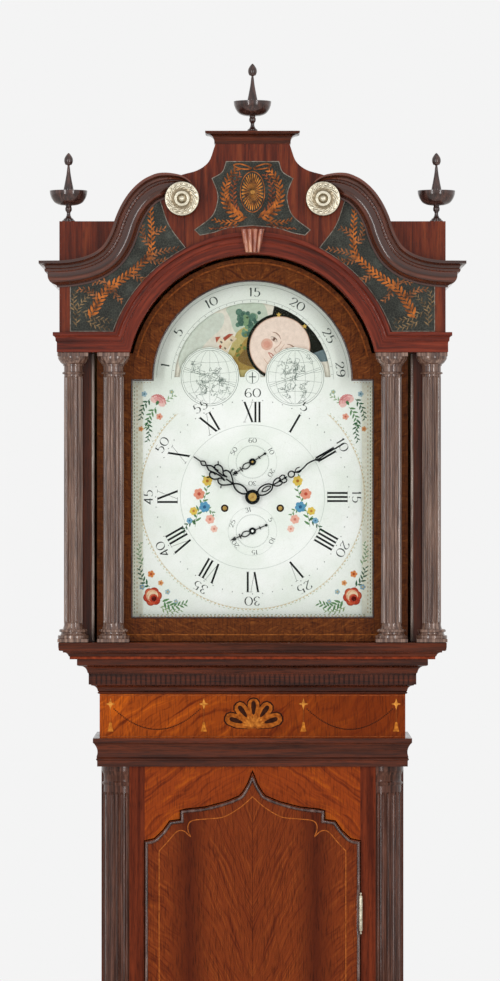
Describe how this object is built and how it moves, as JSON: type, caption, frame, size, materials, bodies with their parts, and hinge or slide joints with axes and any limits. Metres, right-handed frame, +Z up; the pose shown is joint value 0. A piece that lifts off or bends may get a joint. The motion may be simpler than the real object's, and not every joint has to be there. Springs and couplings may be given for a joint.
{
  "type": "longcase clock",
  "caption": "Mahogany longcase clock with a painted moon dial behind a glazed break-arch door, swan-neck hood, fluted columns, inlaid trunk and bracket feet.",
  "frame": {"origin": "on the floor, under the middle of the clock's overall box", "axes": "+X to the right seen from the front, +Y towards the back, +Z up"},
  "size_m": [0.6168, 0.3, 2.4],
  "materials": {
    "mahogany": "polished dark red-brown mahogany",
    "flame_mahogany": "polished flame-figured mahogany veneer",
    "dark_mahogany": "polished nearly black mahogany",
    "pine": "bare pine",
    "brass": "lacquered",
    "pale_brass": "worn, pale",
    "steel": "filed",
    "blued_steel": "blued to black",
    "painted_iron": "pale painted iron",
    "glass": "clear",
    "gut": "gut line"
  },
  "bodies": {
    "case": {"backboard": "pine", "base_case": "flame_mahogany", "plinth": "mahogany", "base_moulding": "mahogany", "trunk_side_left": "mahogany", "trunk_side_right": "mahogany", "trunk_front": "flame_mahogany", "quarter_column_left": "dark_mahogany", "quarter_column_right": "dark_mahogany", "trunk_frieze": "flame_mahogany", "trunk_cornice": "mahogany", "throat_moulding": "mahogany", "seatboard": "pine", "trunk_hinge_upper": "brass", "trunk_hinge_lower": "brass", "movement_plates": "brass", "bell": "pale_brass", "dial_plate": "painted_iron", "line_going": "gut", "line_strike": "gut"},
    "hood": {"hood_base": "mahogany", "hood_side_left": "mahogany", "hood_side_right": "mahogany", "column_outer_left": "dark_mahogany", "column_outer_right": "dark_mahogany", "arch_cornice": "mahogany", "pediment": "mahogany", "hood_roof": "mahogany", "swan_neck_left": "mahogany", "swan_neck_right": "mahogany", "rosette_left": "pale_brass", "rosette_right": "pale_brass", "centre_cap": "mahogany", "finial_centre": "dark_mahogany", "finial_left": "dark_mahogany", "finial_right": "dark_mahogany"},
    "hood_door_leaf": {"hood_door": "flame_mahogany", "hood_glass": "glass", "column_inner_left": "dark_mahogany", "column_inner_right": "dark_mahogany"},
    "trunk_door_leaf": {"trunk_door": "flame_mahogany"},
    "lock_bolt": {"trunk_lock_bolt": "brass"},
    "minute_work": {"minute_hand": "blued_steel", "centre_wheel": "brass"},
    "hour_work": {"hour_hand": "blued_steel"},
    "great_wheel_work": {"going_great_wheel": "brass"},
    "third_work": {"third_wheel": "brass"},
    "escape_work": {"escape_wheel": "brass", "seconds_hand": "blued_steel"},
    "date_work": {"date_hand": "blued_steel"},
    "moon_work": {"moon_disc": "painted_iron"},
    "pendulum_work": {"pendulum": "brass"},
    "pallet_work": {"pallets": "steel"},
    "hammer_work": {"hammer": "steel"},
    "going_weight": {"weight_going": "brass"},
    "strike_weight": {"weight_strike": "brass"},
    "going_pulley": {"pulley_going": "brass"},
    "strike_pulley": {"pulley_strike": "brass"},
    "going_drum": {"going_barrel": "brass"},
    "strike_drum": {"strike_barrel": "brass"}
  },
  "joints": [
    {"name": "hood_slide", "type": "slide", "parent": "case", "child": "hood", "axis": [0, -1, 0], "range_m": [0, 0.25]},
    {"name": "hood_door_hinge", "type": "hinge", "parent": "hood", "child": "hood_door_leaf", "pos_m": [0.2015, -0.1015, 1.77], "axis": [0, 0, 1], "range_deg": [0, 95]},
    {"name": "trunk_door_hinge", "type": "hinge", "parent": "case", "child": "trunk_door_leaf", "pos_m": [0.15745, -0.0732, 1.04], "axis": [0, 0, 1], "range_deg": [0, 110]},
    {"name": "lock_bolt_slide", "type": "slide", "parent": "trunk_door_leaf", "child": "lock_bolt", "axis": [-1, 0, 0], "range_m": [0, 0.006]},
    {"name": "minute_spin", "type": "hinge", "parent": "case", "child": "minute_work", "pos_m": [0, 0, 1.7715], "axis": [0, 1, 0], "continuous": true},
    {"name": "hour_spin", "type": "hinge", "parent": "case", "child": "hour_work", "pos_m": [0, 0, 1.7715], "axis": [0, 1, 0], "continuous": true},
    {"name": "great_wheel_spin", "type": "hinge", "parent": "case", "child": "great_wheel_work", "pos_m": [0.0406, 0, 1.7551], "axis": [0, 1, 0], "continuous": true},
    {"name": "third_wheel_spin", "type": "hinge", "parent": "case", "child": "third_work", "pos_m": [0.00998, 0, 1.79771], "axis": [0, 1, 0], "continuous": true},
    {"name": "escape_wheel_spin", "type": "hinge", "parent": "case", "child": "escape_work", "pos_m": [0, 0, 1.8228], "axis": [0, 1, 0], "continuous": true},
    {"name": "date_spin", "type": "hinge", "parent": "case", "child": "date_work", "pos_m": [0, 0, 1.7218], "axis": [0, 1, 0], "continuous": true},
    {"name": "moon_spin", "type": "hinge", "parent": "case", "child": "moon_work", "pos_m": [0, 0, 1.9412], "axis": [0, 1, 0], "continuous": true},
    {"name": "pendulum_swing", "type": "hinge", "parent": "case", "child": "pendulum_work", "pos_m": [0, 0.074, 1.8508], "axis": [0, 1, 0], "range_deg": [-3, 3]},
    {"name": "pallet_swing", "type": "hinge", "parent": "case", "child": "pallet_work", "pos_m": [0, 0, 1.8508], "axis": [0, 1, 0], "range_deg": [-3, 3]},
    {"name": "hammer_lift", "type": "hinge", "parent": "case", "child": "hammer_work", "pos_m": [-0.06, 0, 1.822], "axis": [0, 1, 0], "range_deg": [-15, 0], "stiffness_Nm_per_rad": 0.3, "springref_deg": 1.72},
    {"name": "weight_going_slide", "type": "slide", "parent": "case", "child": "going_weight", "axis": [0, 0, 1], "range_m": [0, 0.95], "deforming": ["line_going"]},
    {"name": "weight_strike_slide", "type": "slide", "parent": "case", "child": "strike_weight", "axis": [0, 0, 1], "range_m": [0, 0.95], "deforming": ["line_strike"]},
    {"name": "pulley_going_turn", "type": "hinge", "parent": "going_weight", "child": "going_pulley", "pos_m": [0.0406, 0.023, 0.566], "axis": [0, 1, 0], "range_deg": [0, 2400]},
    {"name": "pulley_strike_turn", "type": "hinge", "parent": "strike_weight", "child": "strike_pulley", "pos_m": [-0.0406, 0.023, 0.566], "axis": [0, 1, 0], "range_deg": [0, 2400]},
    {"name": "barrel_going_turn", "type": "hinge", "parent": "case", "child": "going_drum", "pos_m": [0.0406, 0.023, 1.7551], "axis": [0, 1, 0], "range_deg": [0, 4750]},
    {"name": "barrel_strike_turn", "type": "hinge", "parent": "case", "child": "strike_drum", "pos_m": [-0.0406, 0.023, 1.7551], "axis": [0, 1, 0], "range_deg": [0, 4750]}
  ],
  "couplings": [
    {"joint": "hour_spin", "follows": "minute_spin", "ratio": 0.083333},
    {"joint": "great_wheel_spin", "follows": "minute_spin", "ratio": -0.083333},
    {"joint": "third_wheel_spin", "follows": "minute_spin", "ratio": -7.5},
    {"joint": "escape_wheel_spin", "follows": "minute_spin", "ratio": 60},
    {"joint": "date_spin", "follows": "minute_spin", "ratio": 0.0013441},
    {"joint": "moon_spin", "follows": "minute_spin", "ratio": 0.00070621},
    {"joint": "pallet_swing", "follows": "pendulum_swing", "ratio": 1},
    {"joint": "pulley_going_turn", "follows": "weight_going_slide", "rad_per_m": 43.29},
    {"joint": "pulley_strike_turn", "follows": "weight_strike_slide", "rad_per_m": 43.29},
    {"joint": "barrel_going_turn", "follows": "weight_going_slide", "rad_per_m": 86.58},
    {"joint": "barrel_strike_turn", "follows": "weight_strike_slide", "rad_per_m": 86.58}
  ]
}
